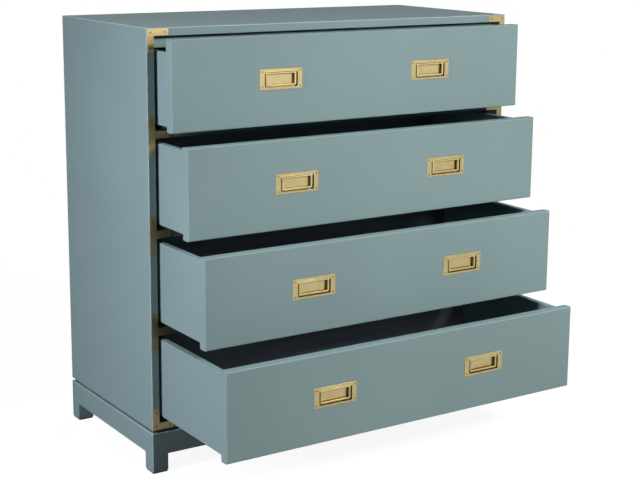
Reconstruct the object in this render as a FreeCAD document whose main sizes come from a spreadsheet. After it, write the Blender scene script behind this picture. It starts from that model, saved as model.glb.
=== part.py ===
import FreeCAD, Part
import Sketcher
import os
from types import SimpleNamespace

# A chest of four drawers with brass corner pieces and flush pulls, on a low framed base.
# X runs to the chest's right, Y to its back and Z up, in millimetres. The origin is on the floor
# under the middle of the carcass. The drawers are drawn out in steps, the lowest one furthest.

DRAWERS = 4
DIVIDERS = DRAWERS - 1
DOWELS = 4
NEAR = 1e-3

SIZES = {
    # Carcass
    "chest_width": 914,
    "chest_depth": 412,
    "chest_height": 923,
    "board_thickness": 16,
    "board_round": 1,
    "back_thickness": 6,
    "back_inset": 1,
    "back_rabbet": 8,
    "housing_depth": 6,
    "dowel_diameter": 8,
    "dowel_length": 30,
    "dowel_in_panel": 10,
    "dowel_end_inset": 45,
    "top_rail_height": 25,
    "top_rail_depth": 20,
    "top_rail_gap": 2,
    "top_rail_clearance": 4,
    # Fits that many pieces share
    "joint_clearance": 0.1,
    "running_clearance": 0.3,
    "cut_overrun": 2,
    # Base
    "base_height": 87.5,
    "shadow_gap": 6.5,
    "shadow_recess": 6,
    "foot_width": 35,
    "apron_height": 48.5,
    "apron_thickness": 20,
    "tenon_thickness": 8,
    "tenon_length": 12,
    "tenon_shoulder": 8,
    "glide_height": 3,
    "glide_inset": 1.5,
    "glide_pin_diameter": 4,
    "glide_pin_length": 14,
    # Drawer boxes
    "drawer_reveal": 2,
    "front_thickness": 21,
    "front_round": 2.5,
    "side_thickness": 14,
    "side_inset": 5,
    "side_lift": 10,
    "side_drop": 8,
    "side_round": 1.5,
    "side_housing": 7,
    "drawer_back_thickness": 14,
    "drawer_back_setback": 10,
    "drawer_back_drop": 8,
    "drawer_bottom_thickness": 6,
    "drawer_bottom_recess": 12,
    "drawer_groove": 6,
    "drawer_rear_gap": 26,
    # How far each drawer stands open, as a share of its travel
    "drawer_1_open_share": 0.2366,
    "drawer_2_open_share": 0.4538,
    "drawer_3_open_share": 0.6783,
    "drawer_4_open_share": 0.9569,
    # Runners
    "runner_inset": 38,
    "runner_flange": 26,
    "runner_sheet": 2,
    "runner_web": 5,
    "runner_head": 16,
    "runner_head_thickness": 3,
    "runner_front_gap": 2,
    "runner_rear_inset": 2,
    "runner_stop": 3,
    "runner_stop_depth": 4,
    "runner_stop_setback": 57,
    "runner_stop_gap": 1,
    # Flush pulls
    "pull_spacing": 380,
    "pull_rise": 3,
    "pull_width": 101.6,
    "pull_height": 42.5,
    "pull_plate_thickness": 2,
    "pull_plate_inlay": 1,
    "pull_bevel": 0.6,
    "pocket_width": 78,
    "pocket_height": 31,
    "pocket_drop": 1,
    "pocket_depth": 7,
    "pan_wall": 2,
    "mortise_clearance": 0.5,
    "bead_width": 1.6,
    "bead_height": 0.5,
    "bead_round": 0.3,
    "bail_width": 72.4,
    "bail_thickness": 4,
    "bail_side_bar": 4,
    "bail_bottom_bar": 3.2,
    "bail_round": 0.7,
    "bail_corner_round": 3,
    "bail_top_gap": 0.5,
    "bail_bottom_gap": 2.7,
    "bail_face_inset": 0.3,
    "bail_pin_diameter": 3,
    "bail_pin_clearance": 0.05,
    # Brass corner pieces
    "bracket_reach": 48,
    "bracket_margin": 1.2,
    "bracket_thickness": 2,
    "bracket_inlay": 1.2,
    "bracket_bevel": 0.4,
    "tee_height": 78.5,
    "tee_screw_offset": 28,
    "bracket_screw_inset": 8.6,
    # Countersunk screws
    "screw_head_diameter": 5,
    "screw_head_height": 1.4,
    "screw_shank_diameter": 2.6,
    "screw_length": 11,
    "screw_clearance": 0.05,
    "slot_width": 0.8,
    "slot_depth": 0.5,
    "pull_screw_inset": 5.5,
}


class Size:
    """A length worked out from the cells of the sheet, kept as an expression."""

    def __init__(self, text):
        self.text = text

    def __str__(self):
        return self.text

    def __add__(self, other):
        return Size(f"({self} + {other})")

    def __radd__(self, other):
        return Size(f"({other} + {self})")

    def __sub__(self, other):
        return Size(f"({self} - {other})")

    def __rsub__(self, other):
        return Size(f"({other} - {self})")

    def __mul__(self, other):
        return Size(f"({self} * {other})")

    def __rmul__(self, other):
        return Size(f"({other} * {self})")

    def __truediv__(self, other):
        return Size(f"({self} / {other})")

    def __neg__(self):
        return Size(f"(-{self})")


doc = FreeCAD.newDocument("Chest")
sheet = doc.addObject("Spreadsheet::Sheet", "Sizes")
for row, (alias, number) in enumerate(SIZES.items(), start=1):
    sheet.set(f"A{row}", alias)
    sheet.set(f"B{row}", str(number))
    sheet.setAlias(f"B{row}", alias)
doc.recompute()

s = SimpleNamespace(**{alias: Size(f"Sizes.{alias}") for alias in SIZES})
nodes = []


def node(name, piece):
    """Name a finished piece, so that it is written out under that name."""
    piece.Label = name
    nodes.append(piece)
    return piece


def value(length):
    """The number that a length comes to."""
    return float(sheet.evalExpression(str(length)))


def place(piece, spot):
    for axis, length in zip("xyz", spot):
        piece.setExpression(f"Placement.Base.{axis}", str(length))


def box(name, low, high):
    """A block between two opposite corners."""
    block = doc.addObject("Part::Box", name)
    for side, start, end in zip(("Length", "Width", "Height"), low, high):
        block.setExpression(side, str(end - start))
    place(block, low)
    return block


TURNS = {
    "x": FreeCAD.Rotation(FreeCAD.Vector(0, 1, 0), 90),
    "y": FreeCAD.Rotation(FreeCAD.Vector(1, 0, 0), -90),
    "z": FreeCAD.Rotation(),
}


def rod(name, axis, start, diameter, length):
    """A round bar that runs along an axis from a starting point."""
    bar = doc.addObject("Part::Cylinder", name)
    bar.setExpression("Radius", str(diameter / 2))
    bar.setExpression("Height", str(length))
    bar.Placement = FreeCAD.Placement(FreeCAD.Vector(), TURNS[axis])
    place(bar, start)
    return bar


def taper(name, axis, start, first_diameter, last_diameter, length):
    """A cone frustum that runs along an axis from a starting point."""
    bar = doc.addObject("Part::Cone", name)
    bar.setExpression("Radius1", str(first_diameter / 2))
    bar.setExpression("Radius2", str(last_diameter / 2))
    bar.setExpression("Height", str(length))
    bar.Placement = FreeCAD.Placement(FreeCAD.Vector(), TURNS[axis])
    place(bar, start)
    return bar


def group(name, pieces):
    """Separate solids kept together."""
    together = doc.addObject("Part::Compound", name)
    together.Links = pieces
    return together


def fuse(name, pieces):
    """Solids joined into one."""
    joined = doc.addObject("Part::MultiFuse", name)
    joined.Shapes = pieces
    joined.Refine = True
    return joined


def cut(name, base, tools):
    """A piece with the tools' shapes taken out of it."""
    left_over = doc.addObject("Part::Cut", name)
    left_over.Base = base
    left_over.Tool = tools[0] if len(tools) == 1 else fuse(f"{name}_cuts", tools)
    return left_over


def mirror(name, source, axis, middle=0):
    """A piece reflected in the plane across an axis."""
    twin = doc.addObject("Part::Mirroring", name)
    twin.Source = source
    twin.Normal = FreeCAD.Vector(*(float(letter == axis) for letter in "xyz"))
    twin.setExpression(f"Base.{axis}", str(middle))
    return twin


def pair(name, piece):
    """A piece with its reflection on the chest's other side."""
    return group(name, [piece, mirror(f"{name}_right", piece, "x")])


def lies_on(edge, whole, side):
    """Whether an edge lies in one outer side of a shape, such as x- or z+."""
    axis, end = side[0].upper(), "Max" if side[1] == "+" else "Min"
    limit = getattr(whole, axis + end)
    ends = (getattr(edge.BoundBox, axis + "Min"), getattr(edge.BoundBox, axis + "Max"))
    return all(abs(place_on_axis - limit) < NEAR for place_on_axis in ends)


def edge_numbers(shape, picks):
    """The edges that lie in all the sides of any one pick, such as "x- y-"."""
    chosen = []
    for number, edge in enumerate(shape.Edges, start=1):
        if any(all(lies_on(edge, shape.BoundBox, side) for side in pick.split()) for pick in picks):
            chosen.append(number)
    return chosen


def ease(name, kind, base, amount, picks):
    """A piece with the picked edges rounded or bevelled."""
    doc.recompute()
    eased = doc.addObject(kind, name)
    eased.Base = base
    eased.Edges = [(number, value(amount), value(amount)) for number in edge_numbers(base.Shape, picks)]
    return eased


def outline_pad(name, points, length, spot, towards_back):
    """A body padded along Y from an outline of (x, z) points, with its sketch at a given spot."""
    body = doc.addObject("PartDesign::Body", name)
    sketch = body.newObject("Sketcher::SketchObject", f"{name}_outline")
    plane = next(feature for feature in body.Origin.OriginFeatures if feature.Role == "XZ_Plane")
    sketch.AttachmentSupport = [(plane, "")]
    sketch.MapMode = "FlatFace"
    spots = [FreeCAD.Vector(value(x), value(z), 0) for x, z in points]
    for number, start in enumerate(spots):
        sketch.addGeometry(Part.LineSegment(start, spots[(number + 1) % len(spots)]))
    for number, (x, z) in enumerate(points):
        before = (number - 1) % len(points)
        sketch.addConstraint(Sketcher.Constraint("Coincident", before, 2, number, 1))
        for kind, reach in (("DistanceX", x), ("DistanceY", z)):
            held = sketch.addConstraint(Sketcher.Constraint(kind, -1, 1, number, 1, value(reach)))
            sketch.setExpression(f"Constraints[{held}]", str(reach))
    pad = body.newObject("PartDesign::Pad", f"{name}_pad")
    pad.Profile = sketch
    pad.setExpression("Length", str(length))
    pad.Reversed = towards_back
    place(body, spot)
    return body, pad


# Planes and heights that the pieces share
left = -s.chest_width / 2
right = s.chest_width / 2
front = -s.chest_depth / 2
rear = s.chest_depth / 2
inner_left = left + s.board_thickness
inner_right = right - s.board_thickness
carcass_bottom = s.base_height + s.shadow_gap
carcass_middle = (carcass_bottom + s.chest_height) / 2
floor_top = carcass_bottom + s.board_thickness
ceiling = s.chest_height - s.board_thickness
opening_height = (ceiling - floor_top - DIVIDERS * s.board_thickness) / DRAWERS
back_face = rear - s.back_inset - s.back_thickness
drawer_rear = back_face - s.drawer_rear_gap

# The runner's section stands on the board under the drawer and carries the drawer's bottom
runner_height = s.drawer_reveal + s.side_lift + s.drawer_bottom_recess
rail_top = runner_height - s.runner_sheet - s.running_clearance
rail_neck = rail_top - s.runner_head_thickness
lip_bottom = rail_neck - s.running_clearance - s.runner_sheet
rail_front = front + s.front_thickness + s.runner_front_gap
member_rear = drawer_rear - s.runner_rear_inset
stop_lug_rear = rail_front + s.runner_stop_setback + s.runner_stop
travel = member_rear - s.runner_stop - stop_lug_rear - s.runner_stop_gap


def opening_floor(number):
    """The top of the board under a drawer, counting the drawers from the top."""
    return floor_top + (DRAWERS - number) * (opening_height + s.board_thickness)


def divider_middle(number):
    """The middle height of the divider under a drawer."""
    return opening_floor(number) - s.board_thickness / 2


# Screws
def screw_blanks(name, spots, face, clearance):
    """Countersunk screws driven along Y into a face, or the holes for them."""
    bars = []
    head = s.screw_head_diameter + 2 * clearance
    shank = s.screw_shank_diameter + 2 * clearance
    for number, (x, z) in enumerate(spots):
        start = (x, face, z)
        bars.append(taper(f"{name}_head_{number}", "y", start, head, shank, s.screw_head_height))
        bars.append(rod(f"{name}_shank_{number}", "y", start, shank, s.screw_length + clearance))
    return fuse(name, bars)


def screws(name, spots, face):
    """Slotted screws with their heads flush with a face."""
    blanks = screw_blanks(f"{name}_blanks", spots, face, 0)
    reach = s.screw_head_diameter / 2 + s.cut_overrun
    slots = []
    for number, (x, z) in enumerate(spots):
        low = (x - reach, face - s.cut_overrun, z - s.slot_width / 2)
        high = (x + reach, face + s.slot_depth, z + s.slot_width / 2)
        slots.append(box(f"{name}_slot_{number}", low, high))
    return cut(name, blanks, slots)


# Brass corner pieces, on the left side, let into the front edges of the boards
bracket_back = front + s.bracket_inlay
bracket_face = bracket_back - s.bracket_thickness
bracket_left = left + s.bracket_margin
bracket_right = left + s.bracket_reach
upright_middle = (bracket_left + inner_left) / 2
arm_screw = bracket_right - s.bracket_screw_inset


def bracket_plate(name, points, holes):
    """A flat plate with a bevelled face and countersunk holes."""
    body, pad = outline_pad(f"{name}_body", points, s.bracket_thickness, (0, bracket_back, 0), False)
    doc.recompute()
    bevel = body.newObject("PartDesign::Chamfer", f"{name}_bevel")
    bevel.Base = (pad, [f"Edge{number}" for number in edge_numbers(pad.Shape, ["y-"])])
    bevel.setExpression("Size", str(s.bracket_bevel))
    return cut(name, body, [holes])


def bracket_recess(name, low_z, high_z, arm_low_z, arm_high_z):
    """The shallow cut in the front edges that takes a plate's upright and its arm."""
    fit = s.joint_clearance
    depths = (front - s.cut_overrun, bracket_back)
    upright = box(
        f"{name}_upright",
        (bracket_left - fit, depths[0], low_z - fit),
        (inner_left + s.cut_overrun, depths[1], high_z + fit),
    )
    arm = box(
        f"{name}_arm",
        (bracket_left - fit, depths[0], arm_low_z),
        (bracket_right + fit, depths[1], arm_high_z),
    )
    return fuse(name, [upright, arm])


def corner_bracket():
    """The L piece at the top left corner, with its screws and the cuts that take them."""
    top = s.chest_height - s.bracket_margin
    low = s.chest_height - s.bracket_reach
    points = [
        (bracket_left, top),
        (bracket_right, top),
        (bracket_right, ceiling),
        (inner_left, ceiling),
        (inner_left, low),
        (bracket_left, low),
    ]
    arm_middle = (top + ceiling) / 2
    spots = [
        (upright_middle, arm_middle),
        (arm_screw, arm_middle),
        (upright_middle, low + s.bracket_screw_inset),
    ]
    holes = screw_blanks("corner_holes", spots, bracket_face, s.screw_clearance)
    plate = bracket_plate("corner_plate", points, holes)
    recess = bracket_recess(
        "corner_recess", low, top, ceiling - s.cut_overrun, top + s.joint_clearance
    )
    return plate, screws("corner_screws", spots, bracket_face), fuse("corner_cuts", [recess, holes])


def tee_bracket(number):
    """The T piece at the left end of a divider, with its screws and the cuts that take them."""
    name = f"tee_{number}"
    middle = divider_middle(number)
    low, high = middle - s.tee_height / 2, middle + s.tee_height / 2
    arm_low, arm_high = middle - s.board_thickness / 2, middle + s.board_thickness / 2
    points = [
        (bracket_left, low),
        (inner_left, low),
        (inner_left, arm_low),
        (bracket_right, arm_low),
        (bracket_right, arm_high),
        (inner_left, arm_high),
        (inner_left, high),
        (bracket_left, high),
    ]
    spots = [
        (upright_middle, middle - s.tee_screw_offset),
        (upright_middle, middle + s.tee_screw_offset),
        (arm_screw, middle),
    ]
    holes = screw_blanks(f"{name}_holes", spots, bracket_face, s.screw_clearance)
    plate = bracket_plate(f"{name}_plate", points, holes)
    recess = bracket_recess(
        f"{name}_recess", low, high, arm_low - s.cut_overrun, arm_high + s.cut_overrun
    )
    return plate, screws(f"{name}_screws", spots, bracket_face), fuse(f"{name}_cuts", [recess, holes])


def four_corners(name, piece):
    """A piece at the top left corner of the carcass, with its reflections at the other three."""
    both = pair(f"{name}_top", piece)
    return group(name, [both, mirror(f"{name}_bottom", both, "z", carcass_middle)])


corner_plate, corner_screws, corner_cuts = corner_bracket()
tees = [tee_bracket(number) for number in range(1, DRAWERS)]
tee_cuts = [tee[2] for tee in tees]
node("corner_brackets", four_corners("corner_bracket_set", corner_plate))
node("tee_brackets", pair("tee_bracket_set", group("tee_plates", [tee[0] for tee in tees])))
tee_screw_set = pair("tee_screw_set", group("tee_screws", [tee[1] for tee in tees]))
corner_screw_set = four_corners("corner_screw_set", corner_screws)
node("bracket_screws", group("bracket_screw_set", [corner_screw_set, tee_screw_set]))


# Carcass
def dowel_row(name, clearance):
    """Dowels between the top panel and the left side panel, or the holes for them."""
    spacing = (s.chest_depth - 2 * s.dowel_end_inset) / (DOWELS - 1)
    low = ceiling + s.dowel_in_panel - s.dowel_length - clearance
    rods = []
    for number in range(DOWELS):
        start = (left + s.board_thickness / 2, front + s.dowel_end_inset + number * spacing, low)
        diameter = s.dowel_diameter + 2 * clearance
        rods.append(rod(f"{name}_{number}", "z", start, diameter, s.dowel_length + 2 * clearance))
    return group(name, rods)


def top_board():
    """The top panel, with a stopped rabbet for the back and holes for the dowels."""
    board = box("top_blank", (left, front, ceiling), (right, rear, s.chest_height))
    corners = ["z+", "x- y-", "x+ y-", "x- y+", "x+ y+"]
    eased = ease("top_eased", "Part::Fillet", board, s.board_round, corners)
    rabbet = box(
        "top_rabbet",
        (inner_left - s.back_rabbet, back_face, ceiling - s.cut_overrun),
        (inner_right + s.back_rabbet, rear + s.cut_overrun, ceiling + s.back_rabbet),
    )
    holes = pair("top_dowel_holes", dowel_holes)
    return cut("top_board", eased, [rabbet, holes, pair("top_corner_cuts", corner_cuts)])


def left_board():
    """The left side panel, with housings for the dividers and a rabbet for the back."""
    board = box("side_blank", (left, front, floor_top), (inner_left, rear, ceiling))
    eased = ease("side_eased", "Part::Fillet", board, s.board_round, ["x- y-", "x- y+"])
    rabbet = box(
        "side_rabbet",
        (inner_left - s.back_rabbet, back_face, floor_top - s.cut_overrun),
        (inner_left + s.cut_overrun, rear + s.cut_overrun, ceiling + s.cut_overrun),
    )
    tools = [rabbet, *tee_cuts]
    for number in range(1, DRAWERS):
        high = opening_floor(number)
        low_corner = (inner_left - s.housing_depth, front - s.cut_overrun, high - s.board_thickness)
        high_corner = (inner_left + s.cut_overrun, back_face, high)
        tools.append(box(f"housing_{number}", low_corner, high_corner))
    for name, tool in (("side_dowel_holes", dowel_holes), ("side_corner_cuts", corner_cuts)):
        tools.append(group(name, [tool, mirror(f"{name}_low", tool, "z", carcass_middle)]))
    return cut("left_board", eased, tools)


def divider(number):
    """A divider let into the sides, with its front edge cut for the brass pieces."""
    high = opening_floor(number)
    overlap = s.housing_depth - s.joint_clearance
    board = box(
        f"divider_{number}_blank",
        (inner_left - overlap, front, high - s.board_thickness),
        (inner_right + overlap, back_face - s.joint_clearance, high),
    )
    tools = pair(f"divider_{number}_tees", tee_cuts[number - 1])
    return cut(f"divider_{number}", board, [tools])


dowel_holes = dowel_row("dowel_holes", s.joint_clearance)
top_panel = node("top_panel", top_board())
node("bottom_panel", mirror("bottom_board", top_panel, "z", carcass_middle))
left_side = node("left_side_panel", left_board())
node("right_side_panel", mirror("right_board", left_side, "x"))
for number in range(1, DRAWERS):
    node(f"drawer_divider_{number}", divider(number))
node("carcass_dowels", four_corners("dowel_set", dowel_row("dowels", 0)))
back_overlap = s.back_rabbet - s.joint_clearance
back_board = box(
    "back_board",
    (inner_left - back_overlap, back_face, floor_top - back_overlap),
    (inner_right + back_overlap, rear - s.back_inset, ceiling + back_overlap),
)
node("back_panel", back_board)
top_rail_front = front + s.front_thickness + s.top_rail_gap
top_rail_bottom = ceiling - s.top_rail_height
top_rail_rear = top_rail_front + s.top_rail_depth
rail_low = (inner_left, top_rail_front, top_rail_bottom)
rail_high = (inner_right, top_rail_rear, ceiling)
node("top_rail", box("rail_under_top", rail_low, rail_high))


# Base
apron_bottom = s.base_height - s.apron_height
tenon_low = apron_bottom + s.tenon_shoulder
tenon_high = s.base_height - s.tenon_shoulder
tenon_inset = (s.apron_thickness - s.tenon_thickness) / 2
foot_middle_x = left + s.foot_width / 2
foot_middle_y = front + s.foot_width / 2


def long_tenon(name, fit):
    """The tenon at the front apron's left end, or the mortise for it."""
    end = left + s.foot_width
    near = front + tenon_inset
    return box(
        name,
        (end - s.tenon_length - fit, near - fit, tenon_low - fit),
        (end + s.tenon_shoulder, near + s.tenon_thickness + fit, tenon_high + fit),
    )


def end_tenon(name, fit):
    """The tenon at the left apron's front end, or the mortise for it."""
    end = front + s.foot_width
    near = left + tenon_inset
    return box(
        name,
        (near - fit, end - s.tenon_length - fit, tenon_low - fit),
        (near + s.tenon_thickness + fit, end + s.tenon_shoulder, tenon_high + fit),
    )


def footprint(name, piece):
    """A piece at the front left foot, with its reflections at the other three."""
    both = pair(f"{name}_front", piece)
    return group(name, [both, mirror(f"{name}_rear", both, "y")])


def foot():
    """A square foot, mortised for the aprons and drilled for its glide."""
    low = (left, front, s.glide_height)
    high = (left + s.foot_width, front + s.foot_width, s.base_height)
    blank = box("foot_blank", low, high)
    outer_edges = ["z-", "x- y-", "x- z+", "y- z+"]
    eased = ease("foot_eased", "Part::Fillet", blank, s.board_round, outer_edges)
    fit = s.joint_clearance
    start = (foot_middle_x, foot_middle_y, s.glide_height - s.cut_overrun)
    depth = s.glide_pin_length + s.cut_overrun + fit
    hole = rod("glide_hole", "z", start, s.glide_pin_diameter + 2 * fit, depth)
    return cut("foot", eased, [long_tenon("long_mortise", fit), end_tenon("end_mortise", fit), hole])


def glide():
    """A square glide with a pin that is driven into the foot."""
    far = s.foot_width - s.glide_inset
    low = (left + s.glide_inset, front + s.glide_inset, 0)
    pad = box("glide_pad", low, (left + far, front + far, s.glide_height))
    length = s.glide_height + s.glide_pin_length
    pin = rod("glide_pin", "z", (foot_middle_x, foot_middle_y, 0), s.glide_pin_diameter, length)
    return fuse("glide", [pad, pin])


def long_apron():
    """The front apron with a tenon at each end."""
    low = (left + s.foot_width, front, apron_bottom)
    high = (right - s.foot_width, front + s.apron_thickness, s.base_height)
    blank = box("long_apron_blank", low, high)
    board = ease("long_apron_eased", "Part::Fillet", blank, s.board_round, ["y- z+", "y- z-"])
    tenon = long_tenon("long_tenon", 0)
    return fuse("long_apron", [board, tenon, mirror("long_tenon_right", tenon, "x")])


def end_apron():
    """The left apron with a tenon at each end."""
    low = (left, front + s.foot_width, apron_bottom)
    high = (left + s.apron_thickness, rear - s.foot_width, s.base_height)
    blank = box("end_apron_blank", low, high)
    board = ease("end_apron_eased", "Part::Fillet", blank, s.board_round, ["x- z+", "x- z-"])
    tenon = end_tenon("end_tenon", 0)
    return fuse("end_apron", [board, tenon, mirror("end_tenon_rear", tenon, "y")])


node("base_feet", footprint("foot_set", foot()))
node("foot_glides", footprint("glide_set", glide()))
front_apron = node("base_front_apron", long_apron())
node("base_rear_apron", mirror("rear_apron", front_apron, "y"))
node("base_end_aprons", pair("end_apron_set", end_apron()))
spacer_low = (left + s.shadow_recess, front + s.shadow_recess, s.base_height)
spacer_high = (right - s.shadow_recess, rear - s.shadow_recess, carcass_bottom)
node("base_spacer_board", box("spacer", spacer_low, spacer_high))


# Runners
runner_x = inner_left + s.runner_inset
half_head = s.runner_head / 2
half_web = s.runner_web / 2
half_slot = half_web + s.running_clearance
half_hollow = half_head + s.running_clearance
half_member = half_hollow + s.runner_sheet


def cabinet_rail(number):
    """The T rail on the board under a drawer, with its closing stop and its opening stop."""
    name = f"rail_{number}"
    half_flange = s.runner_flange / 2
    right_half = [
        (half_flange, 0),
        (half_flange, s.runner_sheet),
        (half_web, s.runner_sheet),
        (half_web, rail_neck),
        (half_head, rail_neck),
        (half_head, rail_top),
    ]
    points = right_half + [(-x, z) for x, z in reversed(right_half)]
    floor = opening_floor(number)
    stop_front = member_rear + s.running_clearance
    spot = (runner_x, rail_front, floor)
    body, _ = outline_pad(f"{name}_body", points, stop_front - rail_front, spot, True)
    stop = box(
        f"{name}_stop",
        (runner_x - half_head, stop_front, floor),
        (runner_x + half_head, stop_front + s.runner_stop, floor + rail_top),
    )
    lug = box(
        f"{name}_lug",
        (runner_x - half_head, stop_lug_rear - s.runner_stop, floor + lip_bottom - s.runner_stop_depth),
        (runner_x + half_head, stop_lug_rear, floor + lip_bottom - s.running_clearance),
    )
    return fuse(name, [body, stop, lug])


def drawer_member(number, shift):
    """The C section member under a drawer's left side, which wraps round the rail's head."""
    name = f"member_{number}"
    right_half = [
        (half_slot, lip_bottom),
        (half_member, lip_bottom),
        (half_member, runner_height),
    ]
    inside_half = [
        (half_hollow, runner_height - s.runner_sheet),
        (half_hollow, lip_bottom + s.runner_sheet),
        (half_slot, lip_bottom + s.runner_sheet),
    ]
    outer = right_half + [(-x, z) for x, z in reversed(right_half)]
    inner = [(-x, z) for x, z in reversed(inside_half)] + inside_half
    floor = opening_floor(number)
    member_front = rail_front + shift
    spot = (runner_x, member_front, floor)
    body, _ = outline_pad(f"{name}_body", outer + inner, member_rear - rail_front, spot, True)
    tabs = []
    for side, low_x, high_x in (("left", -half_member, -half_slot), ("right", half_slot, half_member)):
        end = member_rear + shift
        low = (runner_x + low_x, end - s.runner_stop, floor + lip_bottom - s.runner_stop_depth)
        high = (runner_x + high_x, end, floor + lip_bottom + s.runner_sheet)
        tabs.append(box(f"{name}_{side}_tab", low, high))
    return fuse(name, [body, *tabs])


rails = group("rails", [cabinet_rail(number) for number in range(1, DRAWERS + 1)])
node("runner_cabinet_members", pair("rail_set", rails))


# Flush pulls
pull_x = -s.pull_spacing / 2
pocket_left = pull_x - s.pocket_width / 2
pocket_right = pull_x + s.pocket_width / 2


def pull(name, face, middle):
    """The left pull of a drawer: its plate, bail, screws and the cuts in the front that take it."""
    plate_face = face - s.pull_plate_thickness + s.pull_plate_inlay
    plate_left, plate_right = pull_x - s.pull_width / 2, pull_x + s.pull_width / 2
    plate_low, plate_high = middle - s.pull_height / 2, middle + s.pull_height / 2
    pocket_low = middle - s.pocket_drop - s.pocket_height / 2
    pocket_high = pocket_low + s.pocket_height
    pocket_back = plate_face + s.pocket_depth
    pivot_y = plate_face + s.bail_face_inset + s.bail_thickness / 2
    pivot_z = pocket_high - s.bail_top_gap - s.bail_thickness / 2
    spots = []
    for x in (plate_left + s.pull_screw_inset, plate_right - s.pull_screw_inset):
        for z in (plate_low + s.pull_screw_inset, plate_high - s.pull_screw_inset):
            spots.append((x, z))
    holes = screw_blanks(f"{name}_holes", spots, plate_face, s.screw_clearance)
    plate = pull_plate(name, plate_face, (plate_left, plate_right, plate_low, plate_high),
                       (pocket_low, pocket_high, pocket_back), (pivot_y, pivot_z), holes)
    bail = pull_bail(name, pocket_low + s.bail_bottom_gap, pivot_y, pivot_z)
    fit = s.joint_clearance
    recess = box(
        f"{name}_recess",
        (plate_left - fit, face - s.cut_overrun, plate_low - fit),
        (plate_right + fit, face + s.pull_plate_inlay, plate_high + fit),
    )
    room = s.pan_wall + s.mortise_clearance
    mortise = box(
        f"{name}_mortise",
        (pocket_left - room, face - s.cut_overrun, pocket_low - room),
        (pocket_right + room, pocket_back + room, pocket_high + room),
    )
    cuts = fuse(f"{name}_front_cuts", [recess, mortise, holes])
    return plate, bail, screws(f"{name}_fixings", spots, plate_face), cuts


def pull_plate(name, plate_face, edges, pocket, pivot, holes):
    """A bevelled plate with a sunk pan, a bead round the pan's mouth and holes for the bail's pins."""
    plate_left, plate_right, plate_low, plate_high = edges
    pocket_low, pocket_high, pocket_back = pocket
    plate_back = plate_face + s.pull_plate_thickness
    low = (plate_left, plate_face, plate_low)
    high = (plate_right, plate_back, plate_high)
    blank = box(f"{name}_blank", low, high)
    bevelled = ease(f"{name}_bevelled", "Part::Chamfer", blank, s.pull_bevel, ["y-"])
    bead = box(
        f"{name}_bead",
        (pocket_left - s.bead_width, plate_face - s.bead_height, pocket_low - s.bead_width),
        (pocket_right + s.bead_width, plate_back, pocket_high + s.bead_width),
    )
    rounded_bead = ease(f"{name}_bead_eased", "Part::Fillet", bead, s.bead_round, ["y-"])
    pan = box(
        f"{name}_pan",
        (pocket_left - s.pan_wall, plate_face + s.pull_plate_thickness / 2, pocket_low - s.pan_wall),
        (pocket_right + s.pan_wall, pocket_back + s.pan_wall, pocket_high + s.pan_wall),
    )
    hollow = box(
        f"{name}_hollow",
        (pocket_left, plate_face - s.cut_overrun, pocket_low),
        (pocket_right, pocket_back, pocket_high),
    )
    bore_start = (pocket_left - s.pan_wall - s.cut_overrun, *pivot)
    bore_length = s.pocket_width + 2 * (s.pan_wall + s.cut_overrun)
    bore_diameter = s.bail_pin_diameter + 2 * s.bail_pin_clearance
    bore = rod(f"{name}_bore", "x", bore_start, bore_diameter, bore_length)
    solid = fuse(f"{name}_solid", [bevelled, rounded_bead, pan])
    return cut(f"{name}_plate", solid, [hollow, bore, holes])


def pull_bail(name, low, pivot_y, pivot_z):
    """A flat bail with a round top bar and a pin at each end of it."""
    half_width, half_depth = s.bail_width / 2, s.bail_thickness / 2
    window_half = half_width - s.bail_side_bar
    blank = box(
        f"{name}_bail_blank",
        (pull_x - half_width, pivot_y - half_depth, low),
        (pull_x + half_width, pivot_y + half_depth, pivot_z),
    )
    low_corners = ["x- z-", "x+ z-"]
    rounded = ease(f"{name}_bail_rounded", "Part::Fillet", blank, s.bail_corner_round, low_corners)
    window = box(
        f"{name}_window",
        (pull_x - window_half, pivot_y - half_depth - s.cut_overrun, low + s.bail_bottom_bar),
        (pull_x + window_half, pivot_y + half_depth + s.cut_overrun, pivot_z + s.cut_overrun),
    )
    frame = cut(f"{name}_bail_frame", rounded, [window])
    eased = ease(f"{name}_bail_eased", "Part::Fillet", frame, s.bail_round, ["y-"])
    bar_start = (pull_x - half_width, pivot_y, pivot_z)
    top_bar = rod(f"{name}_bail_bar", "x", bar_start, s.bail_thickness, s.bail_width)
    pin_reach = s.pan_wall - s.joint_clearance
    pin_start = (pocket_left - pin_reach, pivot_y, pivot_z)
    pin = rod(f"{name}_bail_pin", "x", pin_start, s.bail_pin_diameter, s.pocket_width + 2 * pin_reach)
    return fuse(f"{name}_bail", [eased, top_bar, pin])


# Drawers
front_left = inner_left + s.drawer_reveal
front_right = inner_right - s.drawer_reveal
side_left = front_left + s.side_inset
side_inside = side_left + s.side_thickness


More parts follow.
